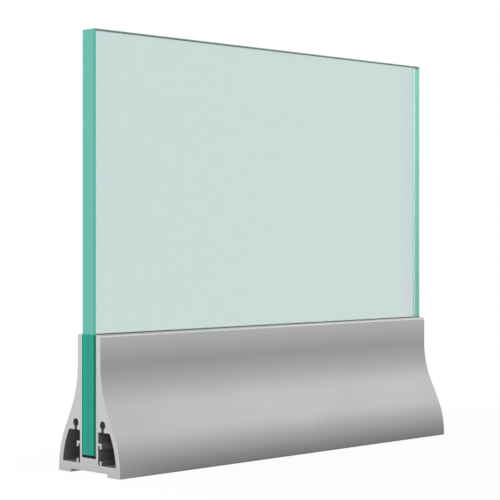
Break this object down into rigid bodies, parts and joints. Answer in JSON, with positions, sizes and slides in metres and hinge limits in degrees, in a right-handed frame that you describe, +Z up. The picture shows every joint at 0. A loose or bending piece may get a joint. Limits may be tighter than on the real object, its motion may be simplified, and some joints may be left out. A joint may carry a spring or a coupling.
{
  "type": "frameless glass railing",
  "caption": "Frameless glass railing: a clear toughened panel stands in the slot of a bell-shaped extruded aluminium base shoe with hollow chambers, screw ports and splice grooves.",
  "frame": {"origin": "on the floor, under the middle of the glass and midway along the railing", "axes": "+Y along the railing away from the end seen in the picture, +X across it towards the side seen in the picture, +Z up"},
  "size_m": [0.07, 0.371, 0.3241],
  "materials": {
    "aluminium": "satin anodised, sawn ends",
    "glass": "clear, green at the ground edges",
    "rubber": "matt black"
  },
  "bodies": {
    "root": {"base_profile": "aluminium", "glass_panel": "glass", "setting_strip": "rubber", "front_liner": "rubber", "back_liner": "rubber"}
  },
  "joints": []
}
